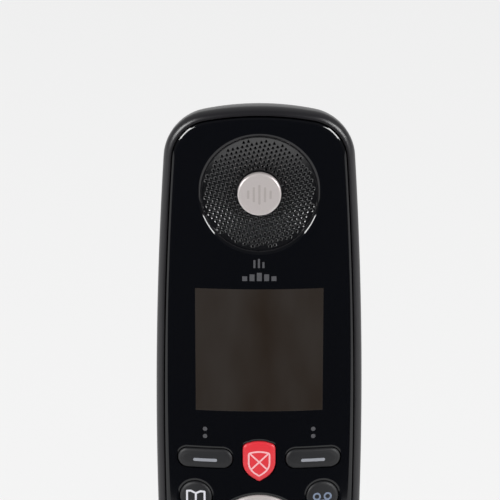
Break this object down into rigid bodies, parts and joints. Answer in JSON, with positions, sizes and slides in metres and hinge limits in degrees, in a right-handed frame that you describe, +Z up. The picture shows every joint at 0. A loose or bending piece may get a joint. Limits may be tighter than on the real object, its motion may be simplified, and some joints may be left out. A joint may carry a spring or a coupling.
{
  "type": "cordless phone with base",
  "caption": "Cordless telephone handset with a display, keypad and navigation ring, standing upright and leaning back in its charging base.",
  "frame": {"origin": "on the desk, under the middle of the base's footprint", "axes": "+Z up, +X to the phone's right as its user faces it, -Y towards the user"},
  "size_m": [0.084, 0.096, 0.1849],
  "materials": {
    "casing_plastic": "satin charcoal",
    "fascia_gloss": "high-gloss black",
    "key_plastic": "satin dark grey",
    "block_key_plastic": "satin red",
    "silver_plastic": "satin silver paint",
    "badge_metal": "satin",
    "grille_metal": "satin black, perforated",
    "display_glass": "dark display",
    "silicone": "matt",
    "foam": "matt foam",
    "circuit": "solder mask green",
    "speaker_plastic": "matt",
    "cell_sleeve": "printed sleeve",
    "contact_metal": "plated",
    "screw_steel": "plated",
    "base_plastic": "satin black",
    "button_plastic": "satin dark grey",
    "socket_plastic": "matt",
    "foot_rubber": "matt",
    "light_plastic": "clear"
  },
  "bodies": {
    "base": {"base_top_shell": "base_plastic", "base_bottom_plate": "base_plastic", "base_circuit_board": "circuit", "status_light": "light_plastic", "power_socket": "socket_plastic", "line_socket": "socket_plastic", "base_screw_left": "screw_steel", "base_screw_right": "screw_steel", "base_foot_front_left": "foot_rubber", "base_foot_front_right": "foot_rubber", "base_foot_rear_left": "foot_rubber", "base_foot_rear_right": "foot_rubber"},
    "find_button": {"find_button": "button_plastic"},
    "base_charge_contact_left": {"base_charge_contact_left": "contact_metal"},
    "base_charge_contact_right": {"base_charge_contact_right": "contact_metal"},
    "handset": {"handset_front_casing": "casing_plastic", "handset_rear_casing": "casing_plastic", "fascia": "fascia_gloss", "earpiece_grille": "grille_metal", "earpiece_disc": "badge_metal", "earpiece_gasket": "foam", "earpiece_speaker": "speaker_plastic", "display_module": "display_glass", "handset_circuit_board": "circuit", "keypad_membrane": "silicone", "microphone": "speaker_plastic", "ringer_speaker": "speaker_plastic", "battery_cell_left": "cell_sleeve", "battery_cell_right": "cell_sleeve", "battery_bridge": "contact_metal", "battery_spring": "contact_metal", "battery_plate": "contact_metal", "handset_charge_pad_left": "contact_metal", "handset_charge_pad_right": "contact_metal", "handset_screw_left": "screw_steel", "handset_screw_right": "screw_steel"},
    "battery_cover": {"battery_cover": "casing_plastic"},
    "navigation_rocker": {"navigation_rocker": "silver_plastic"},
    "select_key": {"select_key": "key_plastic"},
    "soft_key_left": {"soft_key_left": "key_plastic"},
    "soft_key_right": {"soft_key_right": "key_plastic"},
    "call_block_key": {"call_block_key": "block_key_plastic"},
    "phonebook_key": {"phonebook_key": "key_plastic"},
    "voicemail_key": {"voicemail_key": "key_plastic"},
    "talk_key": {"talk_key": "key_plastic"},
    "end_key": {"end_key": "key_plastic"},
    "key_1": {"key_1": "key_plastic"},
    "key_2": {"key_2": "key_plastic"},
    "key_3": {"key_3": "key_plastic"},
    "key_4": {"key_4": "key_plastic"},
    "key_5": {"key_5": "key_plastic"},
    "key_6": {"key_6": "key_plastic"},
    "key_7": {"key_7": "key_plastic"},
    "key_8": {"key_8": "key_plastic"},
    "key_9": {"key_9": "key_plastic"},
    "key_star": {"key_star": "key_plastic"},
    "key_0": {"key_0": "key_plastic"},
    "key_hash": {"key_hash": "key_plastic"}
  },
  "joints": [
    {"name": "handset_lift", "type": "slide", "parent": "base", "child": "handset", "axis": [0, 0.2588, 0.9659], "range_m": [0, 0.12]},
    {"name": "find_button_press", "type": "slide", "parent": "base", "child": "find_button", "axis": [0, 0, -1], "range_m": [0, 0.0008], "stiffness_N_per_m": 1000},
    {"name": "charge_contact_press_left", "type": "slide", "parent": "base", "child": "base_charge_contact_left", "axis": [0, -0.2588, -0.9659], "range_m": [0, 0.001], "stiffness_N_per_m": 600},
    {"name": "charge_contact_press_right", "type": "slide", "parent": "base", "child": "base_charge_contact_right", "axis": [0, -0.2588, -0.9659], "range_m": [0, 0.001], "stiffness_N_per_m": 600},
    {"name": "soft_key_left_press", "type": "slide", "parent": "handset", "child": "soft_key_left", "axis": [0, 0.9659, -0.2588], "range_m": [0, 0.0005], "stiffness_N_per_m": 1500},
    {"name": "soft_key_right_press", "type": "slide", "parent": "handset", "child": "soft_key_right", "axis": [0, 0.9659, -0.2588], "range_m": [0, 0.0005], "stiffness_N_per_m": 1500},
    {"name": "call_block_key_press", "type": "slide", "parent": "handset", "child": "call_block_key", "axis": [0, 0.9659, -0.2588], "range_m": [0, 0.0005], "stiffness_N_per_m": 1500},
    {"name": "phonebook_key_press", "type": "slide", "parent": "handset", "child": "phonebook_key", "axis": [0, 0.9659, -0.2588], "range_m": [0, 0.0005], "stiffness_N_per_m": 1500},
    {"name": "voicemail_key_press", "type": "slide", "parent": "handset", "child": "voicemail_key", "axis": [0, 0.9659, -0.2588], "range_m": [0, 0.0005], "stiffness_N_per_m": 1500},
    {"name": "talk_key_press", "type": "slide", "parent": "handset", "child": "talk_key", "axis": [0, 0.9659, -0.2588], "range_m": [0, 0.0005], "stiffness_N_per_m": 1500},
    {"name": "end_key_press", "type": "slide", "parent": "handset", "child": "end_key", "axis": [0, 0.9659, -0.2588], "range_m": [0, 0.0005], "stiffness_N_per_m": 1500},
    {"name": "key_1_press", "type": "slide", "parent": "handset", "child": "key_1", "axis": [0, 0.9659, -0.2588], "range_m": [0, 0.0005], "stiffness_N_per_m": 1500},
    {"name": "key_2_press", "type": "slide", "parent": "handset", "child": "key_2", "axis": [0, 0.9659, -0.2588], "range_m": [0, 0.0005], "stiffness_N_per_m": 1500},
    {"name": "key_3_press", "type": "slide", "parent": "handset", "child": "key_3", "axis": [0, 0.9659, -0.2588], "range_m": [0, 0.0005], "stiffness_N_per_m": 1500},
    {"name": "key_4_press", "type": "slide", "parent": "handset", "child": "key_4", "axis": [0, 0.9659, -0.2588], "range_m": [0, 0.0005], "stiffness_N_per_m": 1500},
    {"name": "key_5_press", "type": "slide", "parent": "handset", "child": "key_5", "axis": [0, 0.9659, -0.2588], "range_m": [0, 0.0005], "stiffness_N_per_m": 1500},
    {"name": "key_6_press", "type": "slide", "parent": "handset", "child": "key_6", "axis": [0, 0.9659, -0.2588], "range_m": [0, 0.0005], "stiffness_N_per_m": 1500},
    {"name": "key_7_press", "type": "slide", "parent": "handset", "child": "key_7", "axis": [0, 0.9659, -0.2588], "range_m": [0, 0.0005], "stiffness_N_per_m": 1500},
    {"name": "key_8_press", "type": "slide", "parent": "handset", "child": "key_8", "axis": [0, 0.9659, -0.2588], "range_m": [0, 0.0005], "stiffness_N_per_m": 1500},
    {"name": "key_9_press", "type": "slide", "parent": "handset", "child": "key_9", "axis": [0, 0.9659, -0.2588], "range_m": [0, 0.0005], "stiffness_N_per_m": 1500},
    {"name": "key_star_press", "type": "slide", "parent": "handset", "child": "key_star", "axis": [0, 0.9659, -0.2588], "range_m": [0, 0.0005], "stiffness_N_per_m": 1500},
    {"name": "key_0_press", "type": "slide", "parent": "handset", "child": "key_0", "axis": [0, 0.9659, -0.2588], "range_m": [0, 0.0005], "stiffness_N_per_m": 1500},
    {"name": "key_hash_press", "type": "slide", "parent": "handset", "child": "key_hash", "axis": [0, 0.9659, -0.2588], "range_m": [0, 0.0005], "stiffness_N_per_m": 1500},
    {"name": "select_key_press", "type": "slide", "parent": "handset", "child": "select_key", "axis": [0, 0.9659, -0.2588], "range_m": [0, 0.0005], "stiffness_N_per_m": 1500},
    {"name": "navigation_tilt", "type": "hinge", "parent": "handset", "child": "navigation_rocker", "pos_m": [0, -0.00399, 0.07756], "axis": [1, 0, 0], "range_deg": [-3, 3], "stiffness_Nm_per_rad": 0.2},
    {"name": "battery_cover_off", "type": "slide", "parent": "handset", "child": "battery_cover", "axis": [0, 0.9659, -0.2588], "range_m": [0, 0.02]}
  ]
}
